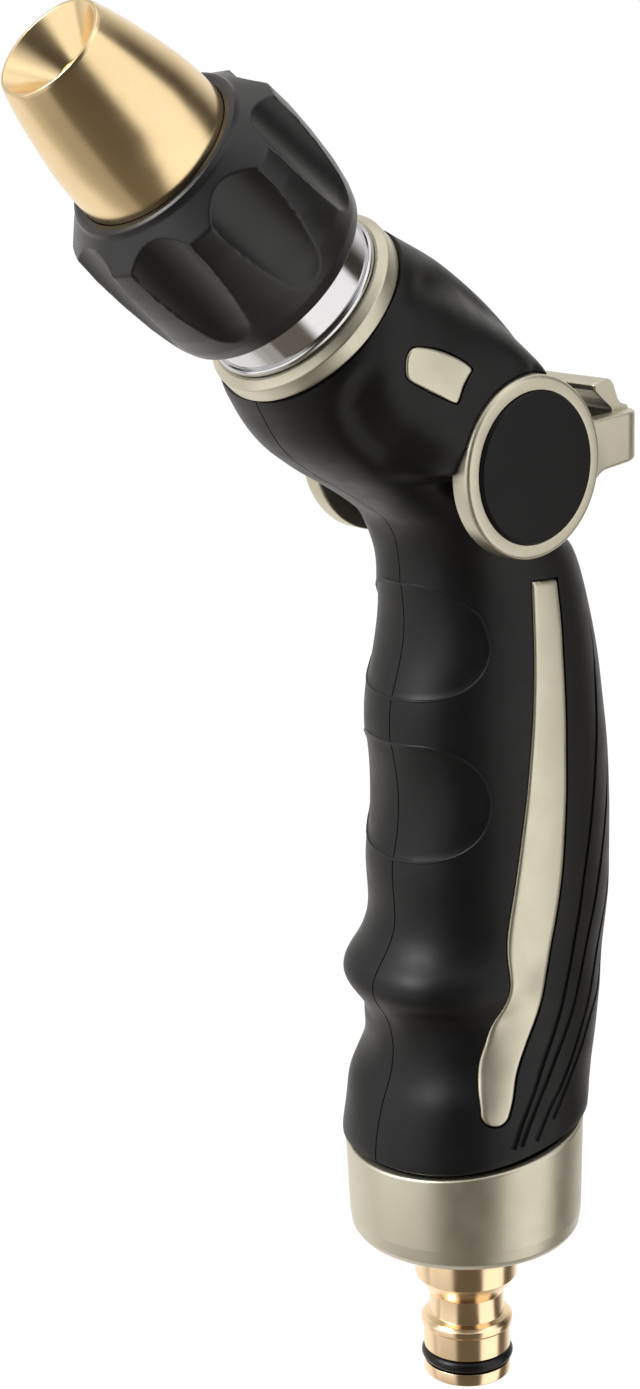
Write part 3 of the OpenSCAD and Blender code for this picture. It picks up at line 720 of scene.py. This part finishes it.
def inlay_solid(name, grow, top, bottom, chamfer):
    """The small inlay beside the lever, or the cutter for its pocket when grown."""
    loop = spline(INLAY + INLAY[:1], 97)[:-1]
    centre = INLAY_CENTRE
    away = loop - centre
    away *= (1 + grow / np.linalg.norm(away, axis=1))[:, None]
    shares = [0.0, 0.3, 0.55, 0.75, 0.86, 0.92, 0.95, 0.975, 0.99, 1.0]
    tops, bottoms, faces = [], [], []
    for share in shares[1:]:
        for spoke in away:
            x, z = centre + spoke * share
            y = surface_y(x, z)
            to_edge = (1 - share) * np.linalg.norm(spoke)
            drop = edge_drop(to_edge, chamfer, top + 0.2) if chamfer > 0 else 0
            tops.append((x, y + top - drop, z))
            bottoms.append((x, y + bottom, z))
    count, rings = len(away), len(shares) - 1
    y = surface_y(*centre)
    verts = tops + bottoms + [(centre[0], y + top, centre[1]), (centre[0], y + bottom, centre[1])]
    base, hub = rings * count, 2 * rings * count
    for f in ring_faces(rings, count, False, True):
        faces.append(f)
        faces.append(tuple(base + k for k in f[::-1]))
    for k in range(count):
        n = (k + 1) % count
        faces.append((hub, n, k))
        faces.append((hub + 1, base + k, base + n))
        rim = (rings - 1) * count
        faces.append((rim + k, rim + n, base + rim + n, base + rim + k))
    return outward(make_piece(name, verts, faces, None, None, None))


def cross_disc(name, radius, y_from, y_to, steps=ROUND):
    """A plain round cutter across the tool at the lever's pivot."""
    outline = np.array([(0.02, y_from), (radius, y_from), (radius, y_to), (0.02, y_to)])
    verts, faces = lathe(outline, PIVOT, SIDE, UP, steps)
    return outward(make_piece(name, verts, faces, None, None, None))


PAD_LINE_R = 0.27
PAD_LINE_LIFT = -0.1
GROOVE_R = 0.6
GROOVE_LIFT = -0.05
EAR_POCKET_R = 15.55
EAR_POCKET_Y = 16.4
JOURNAL_R = 6.6


def build_grip():
    grip = shell_half()
    for k, outline in enumerate(PADS):
        path = on_surface(spline(outline, 110), PAD_LINE_LIFT)
        path[0, 1], path[-1, 1] = 0.0, 0.0
        combine(grip, tube(f"pad_line_{k}", path, PAD_LINE_R), "UNION")
    for k, line in enumerate(GROOVES):
        path = on_surface(spline(line, 130), GROOVE_LIFT)
        size = GROOVE_R * smoothstep(-0.02, 0.16, np.linspace(0, 1, len(path))) + 0.03
        combine(grip, tube(f"groove_{k}", path, size), "DIFFERENCE")
    combine(grip, trim_solid("trim_pocket", 0.38, POCKET_TOP, POCKET_FLOOR, 0), "DIFFERENCE")
    combine(grip, inlay_solid("inlay_pocket", 0.35, POCKET_TOP, POCKET_FLOOR, 0), "DIFFERENCE")
    combine(grip, cross_disc("ear_pocket", EAR_POCKET_R, EAR_POCKET_Y, 32), "DIFFERENCE")
    combine(grip, cross_disc("journal_hole", JOURNAL_R, 4, 32, 64), "DIFFERENCE")
    finish_mesh(grip, 34)
    right = mirrored(grip, "grip_right")
    adopt(grip, "handle", "grip", "grip_shell_left")
    adopt(right, "handle", "grip", "grip_shell_right")
    trim = trim_solid("trim_left", 0.0, TRIM_PROUD, TRIM_SUNK, 0.5)
    finish_mesh(trim, 50)
    adopt(mirrored(trim, "trim_right"), "handle", "champagne", "side_trim_right")
    adopt(trim, "handle", "champagne", "side_trim_left")
    inlay = inlay_solid("inlay_left", 0.0, TRIM_PROUD, TRIM_SUNK, 0.4)
    finish_mesh(inlay, 50)
    adopt(mirrored(inlay, "inlay_right"), "handle", "champagne", "head_inlay_right")
    adopt(inlay, "handle", "champagne", "head_inlay_left")


# ---------------------------------------------------------------- turned pieces
def build_spigot():
    corners = [
        (4.6, 0, 0.35), (7.9, 0, 0.3), (7.9, 2.3, 0.12), (6.0, 2.3, 0.1), (6.0, 5.0, 0.1), (7.9, 5.0, 0.12),
        (7.9, 9.3, 0.1), (8.3, 9.75, 0.12), (8.3, 10.75, 0.18), (7.7, 11.35, 0.15), (6.75, 11.8, 0.2),
        (6.75, 16.0, 0.3), (9.3, 19.6, 0.2), (9.3, 28.6, 0.1), (8.0, 28.6, 0.1), (8.0, 42.0, 0.3),
        (4.6, 42.0, 0.2)]
    verts, faces = lathe(fillet(corners), np.zeros(3), UP, FRONT)
    make_piece("spigot", verts, faces, "handle", "brass", "hose_connector", 25)


def build_ferrule():
    rim, slope, foot = 49.1, math.tan(math.radians(7.8)), 36.0
    corners = [
        (8.15, 28.6, 0.1), (17.6, 28.6, 1.5), (19.6, 29.25, 1.3), (20.5, 30.5, 1.2), (20.85, 33.0, 2.0),
        (21.3, rim, 0.62), (19.6, rim, 0.4), (19.2, 46.5, 0.3), (18.6, 44.5, 0.3), (18.6, 31.6, 0.4),
        (8.15, 31.6, 0.1)]

    def shear(radius, height, turn):
        lift = np.clip((height - foot) / (rim - foot), 0, 1)
        return height - lift * radius * math.cos(turn) * slope

    verts, faces = lathe(fillet(corners, 7), np.zeros(3), UP, FRONT, FINE_ROUND, shear)
    make_piece("ferrule_ring", verts, faces, "handle", "champagne", "ferrule", 25)


def build_barrel():
    turned_piece("barrel", [
        (7.5, 16, 0.2), (9.9, 16, 0.2), (9.9, 19.1, 0), (8.3, 19.1, 0), (8.3, 20.9, 0), (9.9, 20.9, 0),
        (9.9, 36.5, 0.1), (14.6, 36.5, 0.1), (14.6, 43.8, 0.05), (15.4, 43.8, 0.12), (15.4, 44.5, 0.3),
        (15.1, 44.8, 0.2), (14.6, 44.8, 0.12), (14.6, 57, 0.3), (12, 57, 0.2), (12, 70, 0.3), (10.5, 70, 0.2),
        (10.5, 80.5, 0.3), (7.5, 80.5, 0.2)], "handle", "chrome", "barrel_tube", 180, 25)
    turned_piece("bezel", [
        (14.7, 39.8, 0.05), (17.3, 39.8, 0.25), (17.25, 42.6, 0.45), (15.9, 43.6, 0.3), (14.7, 43.6, 0.1)],
                 "handle", "champagne", "bezel_ring", 180, 25)


def build_tip():
    turned_piece("brass_tip", [
        (10.55, 74.8, 0.1), (13.4, 74.8, 0.1), (13.4, 82.2, 45), (12.9, 87.5, 45), (12.0, 92, 40),
        (10.9, 97, 40), (9.65, 101.4, 8), (9.2, 102.7, 0.8), (8.95, 103.25, 0.25), (8.45, 103.25, 0.25),
        (8.2, 102.95, 0.4), (3.4, 97.55, 0.6), (3.3, 97.2, 0.1), (3.3, 96.5, 0.1), (10.8, 86, 0.2),
        (10.8, 80, 0.1), (10.55, 80, 0), (10.55, 78.1, 0), (12.4, 78.1, 0), (12.4, 75.9, 0),
        (10.55, 75.9, 0)],
                 "spray_head", "gold", "spray_tip", FINE_ROUND, 28)


COLLAR_PROFILE = fillet([
    (14.75, 50.8, 0.1), (16.4, 50.8, 0.7), (17.75, 51.5, 0.9), (18.45, 53.8, 3), (19.15, 58, 8),
    (19.6, 64, 14), (19.72, 69.5, 10), (19.45, 74.75, 0.7), (15.5, 78.5, 0.3), (15.2, 79.35, 0.35),
    (14.6, 79.6, 0.25), (13.5, 79.4, 0.1), (13.5, 62, 0.1), (14.75, 62, 0.1)], 6)
FLUTES = 8
FLUTE_R = 10.0
FLUTE_REAR = (28.2, 58.2)
FLUTE_FRONT = (26.9, 76.0)
FLUTE_TURN = math.radians(33.0)
FLUTE_SOFT = 0.09
FLUTE_FLOOR_R = 13.9


def build_collar():
    """The collar: a turned form with finger flutes scooped out, their edges slightly soft."""
    outer, rest = [], []
    for r, s in COLLAR_PROFILE:
        (outer if r > 15.3 and s > 50.9 else rest).append((r, s))
    outer = np.array(outer)
    outer = respaced(outer, run_along(outer), 110)
    start = [p for p in COLLAR_PROFILE if p[1] <= 50.9 and p[0] > 14.6]
    inner = [p for p in COLLAR_PROFILE[len(start):] if not (p[0] > 15.3 and p[1] > 50.9)]
    profile = np.array([*start, *outer, *inner])
    scooped = np.array([False] * len(start) + [True] * len(outer) + [False] * len(inner))
    steps = FLUTES * 64
    across = np.cross(BARREL, BARREL_UP)
    pitch = 2 * math.pi / FLUTES
    lean = (FLUTE_FRONT[0] - FLUTE_REAR[0]) / (FLUTE_FRONT[1] - FLUTE_REAR[1])
    verts = []
    for k in range(steps):
        t = 2 * math.pi * k / steps
        off = (t - FLUTE_TURN + pitch / 2) % pitch - pitch / 2
        r, s = profile[:, 0].copy(), profile[:, 1]
        past = s - FLUTE_REAR[1]
        centre = FLUTE_REAR[0] + lean * np.maximum(past, 0)
        inside = FLUTE_R ** 2 - np.minimum(past, 0) ** 2 - (centre * math.sin(off)) ** 2
        cut = np.where(inside > 0, centre * math.cos(off) - np.sqrt(np.maximum(inside, 0)), 99)
        mix = np.clip(0.5 + 0.5 * (cut - r) / FLUTE_SOFT, 0, 1)
        blended = cut * (1 - mix) + r * mix - FLUTE_SOFT * mix * (1 - mix)
        r = np.where(scooped, np.maximum(blended, FLUTE_FLOOR_R), r)
        radial = math.cos(t) * BARREL_UP + math.sin(t) * across
        verts.append(PIVOT + r[:, None] * radial + s[:, None] * BARREL)
    faces = ring_faces(steps, len(profile))
    obj = make_piece("collar", np.concatenate(verts), faces, None, None, None)
    outward(obj)
    finish_mesh(obj, 30)
    adopt(obj, "spray_head", "collar", "spray_collar")


# ---------------------------------------------------------------- lever
EAR = [(5.2, 16.9, 0.2), (15.1, 16.9, 0.35), (15.1, 20.7, 0.85), (12.55, 20.7, 0.22), (12.55, 19.7, 0.05),
       (5.2, 19.7, 0.2)]
ARM_MIDDLE = 18.6
ARM_HALF = 1.7
BACK_X = -22.5
BACK_HALF = 2.3
BEND = 2.3
ARM_LOW = [(-26, 170.2), (-24.8, 169.3), (-23.6, 168.2), (-19.6, 167.65), (-16.2, 167.3), (-15, 167.1),
           (-13.9, 166.5), (-13.0, 165.7), (-12.4, 164.9), (-11.2, 163.6)]
ARM_HIGH = [(-26, 175.6), (-24.8, 176.1), (-24.0, 176.5), (-8, 175.6)]
RIDGE = [(-24.5, 175.4, 0.1), (-24.2, 176.8, 0.4), (-22.5, 177.3, 0.5), (-21.7, 178.2, 0.9),
         (-21.1, 179.6, 1.5), (-20.6, 180.9, 0.9), (-19.8, 181.8, 0.7), (-18.6, 181.95, 0.9),
         (-16.6, 181.5, 0.6), (-15.95, 181.0, 0.3), (-16.05, 180.2, 0.4), (-17.8, 178.6, 1.5),
         (-20.1, 176.8, 1.2), (-20.3, 175.4, 0.1)]
RIDGE_HALF = 17.0


def along_table(table, x):
    table = np.array(table)
    return float(np.interp(x, table[:, 0], table[:, 1]))


def lever_bow():
    """The two arms and the back plate as one bar bent round the back of the tool."""
    xs = np.linspace(-11.3, BACK_X + BEND, 26)
    path = [(x, ARM_MIDDLE, ARM_HALF, (0.0, 1.0)) for x in xs]
    for a in np.linspace(0, math.pi / 2, 13)[1:]:
        path.append((BACK_X + BEND - BEND * math.sin(a), ARM_MIDDLE - BEND + BEND * math.cos(a),
                     ARM_HALF + (BACK_HALF - ARM_HALF) * a / (math.pi / 2), (-math.sin(a), math.cos(a))))
    for y in np.linspace(ARM_MIDDLE - BEND, 0, 14)[1:]:
        path.append((BACK_X, y, BACK_HALF, (-1.0, 0.0)))
    path += [(x, -y, half, (nx, -ny)) for x, y, half, (nx, ny) in path[-2::-1]]
    verts = []
    for x, y, half, (nx, ny) in path:
        low, high = along_table(ARM_LOW, x), along_table(ARM_HIGH, x)
        loop = fillet([(-half, low, 0.35), (half, low, 0.8), (half, high, 0.55), (-half, high, 0.35)], 5)
        verts += [(x + nx * a, y + ny * a, z) for a, z in loop]
    count = len(path)
    around = len(verts) // count
    faces = ring_faces(count, around, False, True)
    faces.append(tuple(range(around)))
    faces.append(tuple((count - 1) * around + k for k in range(around))[::-1])
    return outward(make_piece("lever_bow", verts, faces, None, None, None))


def lever_ridge():
    """The thumb ridge: a rounded bar across the back plate, its ends drawn in a little."""
    loop = fillet(RIDGE, 5)
    centre = loop.mean(axis=0)
    verts = []
    slices = [(-1.0, 0.93), (-0.992, 0.965), (-0.978, 0.99), (-0.96, 1.0), (0.96, 1.0), (0.978, 0.99),
              (0.992, 0.965), (1.0, 0.93)]
    for share, size in slices:
        for p in loop:
            x, z = centre + (p - centre) * size
            verts.append((x, RIDGE_HALF * share, z))
    around = len(loop)
    faces = ring_faces(len(slices), around, False, True)
    faces.append(tuple(range(around)))
    faces.append(tuple((len(slices) - 1) * around + k for k in range(around))[::-1])
    return outward(make_piece("lever_ridge", verts, faces, None, None, None))


def build_lever():
    lever = lever_bow()
    combine(lever, lever_ridge(), "UNION")
    verts, faces = lathe(fillet(EAR, 8), PIVOT, SIDE, UP, FINE_ROUND)
    ear = outward(make_piece("ear", verts, faces, None, None, None))
    far = outward(mirrored(ear, "far_ear"))
    combine(lever, ear, "UNION")
    combine(lever, far, "UNION")
    lever.name = "lever"
    finish_mesh(lever, 38)
    adopt(lever, "lever", "champagne", "thumb_lever")
    cap = [(0.02, 19.7, 0), (12.5, 19.7, 0.05), (12.5, 20.95, 0.12), (12.15, 21.28, 0.12), (0.02, 21.28, 0)]
    verts, faces = lathe(fillet(cap, 5), PIVOT, SIDE, UP, FINE_ROUND)
    left = outward(make_piece("cap_left", verts, faces, None, None, None))
    finish_mesh(left, 40)
    adopt(mirrored(left, "cap_right"), "lever", "cap", "lever_cap_right")
    adopt(left, "lever", "cap", "lever_cap_left")


# ---------------------------------------------------------------- studio
def panel(tree, direction, height, azimuth, half, soft, low, high, strength):
    """A bright panel in the surroundings, round one compass direction and between two heights."""
    dot = node(tree, "ShaderNodeVectorMath", operation="DOT_PRODUCT")
    dot.inputs[1].default_value = (math.cos(math.radians(azimuth)), math.sin(math.radians(azimuth)), 0)
    tree.links.new(direction, dot.inputs[0])
    wide = ranged(tree, dot.outputs["Value"], math.cos(math.radians(half + soft)),
                  math.cos(math.radians(half - soft)), 0.0, strength, True)
    tall = ranged(tree, height, low[0], low[1], low[2], 1.0, True)
    roof = ranged(tree, height, high[0], high[1], 1.0, high[2], True)
    return product(tree, product(tree, wide, tall), roof)


def product(tree, first, second):
    made = node(tree, "ShaderNodeMath", operation="MULTIPLY")
    tree.links.new(first, made.inputs[0])
    tree.links.new(second, made.inputs[1])
    return made.outputs[0]


def summed(tree, values):
    total = values[0]
    for value in values[1:]:
        add = node(tree, "ShaderNodeMath", operation="ADD")
        tree.links.new(total, add.inputs[0])
        tree.links.new(value, add.inputs[1])
        total = add.outputs[0]
    return total


# Panels: compass direction, half width, softness, how each fades at its foot and its top, brightness
PANELS = [
    (-14, 30, 6, (-0.8, -0.1, 0.25), (0.6, 0.9, 0.2), 1.2),
    (112, 27, 5, (-0.92, -0.6, 0.2), (0.7, 0.95, 0.3), 1.25),
    (245, 62, 25, (-0.98, -0.8, 0.8), (0.3, 0.9, 0.3), 0.95)]


def build_world():
    world = bpy.data.worlds.new("studio")
    world.use_nodes = True
    bpy.context.scene.world = world
    tree = world.node_tree
    tree.nodes.clear()
    coords = node(tree, "ShaderNodeTexCoord").outputs["Generated"]
    flat = node(tree, "ShaderNodeVectorMath", operation="MULTIPLY")
    flat.inputs[1].default_value = (1, 1, 0)
    tree.links.new(coords, flat.inputs[0])
    level = node(tree, "ShaderNodeVectorMath", operation="NORMALIZE")
    tree.links.new(flat.outputs["Vector"], level.inputs[0])
    split = node(tree, "ShaderNodeSeparateXYZ")
    tree.links.new(coords, split.inputs["Vector"])
    height = split.outputs["Z"]
    values = [panel(tree, level.outputs["Vector"], height, *entry) for entry in PANELS]
    values.append(ranged(tree, height, 0.6, 0.93, 0.0, 1.0, True))
    seen, lit, warm = (node(tree, "ShaderNodeBackground") for _ in range(3))
    seen.inputs["Color"].default_value = (1, 1, 1, 1)
    lit.inputs["Color"].default_value = (1.0, 0.99, 0.97, 1)
    warm.inputs["Color"].default_value = (1.0, 0.86, 0.68, 1)
    tree.links.new(summed(tree, values), lit.inputs["Strength"])
    tree.links.new(ranged(tree, height, -1.0, 0.3, 0.19, 0.06), warm.inputs["Strength"])
    both = node(tree, "ShaderNodeAddShader")
    tree.links.new(lit.outputs[0], both.inputs[0])
    tree.links.new(warm.outputs[0], both.inputs[1])
    rays = node(tree, "ShaderNodeLightPath")
    mix = node(tree, "ShaderNodeMixShader")
    tree.links.new(rays.outputs["Is Camera Ray"], mix.inputs["Fac"])
    tree.links.new(both.outputs[0], mix.inputs[1])
    tree.links.new(seen.outputs[0], mix.inputs[2])
    out = node(tree, "ShaderNodeOutputWorld")
    tree.links.new(mix.outputs[0], out.inputs["Surface"])


def soft_light(name, place, target, size, watts):
    data = bpy.data.lights.new(name, "AREA")
    data.shape = "RECTANGLE"
    data.size, data.size_y = size
    data.energy = watts
    obj = placed(name, data)
    obj.location = place
    aim = Vector(target) - Vector(place)
    obj.rotation_euler = aim.to_track_quat("-Z", "Y").to_euler()


def build_studio():
    mesh = bpy.data.meshes.new("floor")
    reach = 6.0
    mesh.from_pydata([(-reach, -reach, 0), (reach, -reach, 0), (reach, reach, 0), (-reach, reach, 0)], [],
                     [(0, 1, 2, 3)])
    floor = placed("floor", mesh)
    mat = bpy.data.materials.new("pale_floor")
    mat.use_nodes = True
    tree = mat.node_tree
    shader = tree.nodes["Principled BSDF"]
    shader.inputs["Base Color"].default_value = (0.35, 0.35, 0.35, 1)
    shader.inputs["Roughness"].default_value = 0.9
    glow = node(tree, "ShaderNodeEmission")
    glow.inputs["Color"].default_value = (1, 1, 1, 1)
    glow.inputs["Strength"].default_value = 1.05
    rays = node(tree, "ShaderNodeLightPath")
    mix = node(tree, "ShaderNodeMixShader")
    tree.links.new(ranged(tree, rays.outputs["Is Camera Ray"], 0, 1, 0, 1), mix.inputs["Fac"])
    tree.links.new(shader.outputs[0], mix.inputs[1])
    tree.links.new(glow.outputs[0], mix.inputs[2])
    tree.links.new(mix.outputs[0], tree.nodes["Material Output"].inputs["Surface"])
    mesh.materials.append(mat)
    floor.visible_glossy = False
    centre = (0.0, 0.0, 0.12)
    soft_light("key", (0.92, -0.25, 0.85), centre, (0.45, 0.45), 10.0)
    build_world()
    bpy.context.scene.view_settings.view_transform = "Standard"


make_camera()
build_studio()
build_grip()
build_spigot()
build_ferrule()
build_barrel()
build_tip()
build_collar()
build_lever()

SLOTS = {entry["node"]: entry["material_slot"] for entry in frame["record"]["subparts"]}
for name, obj in frame["nodes"].items():
    obj.data.materials.clear()
    obj.data.materials.append(MATERIALS[SLOTS[name]])
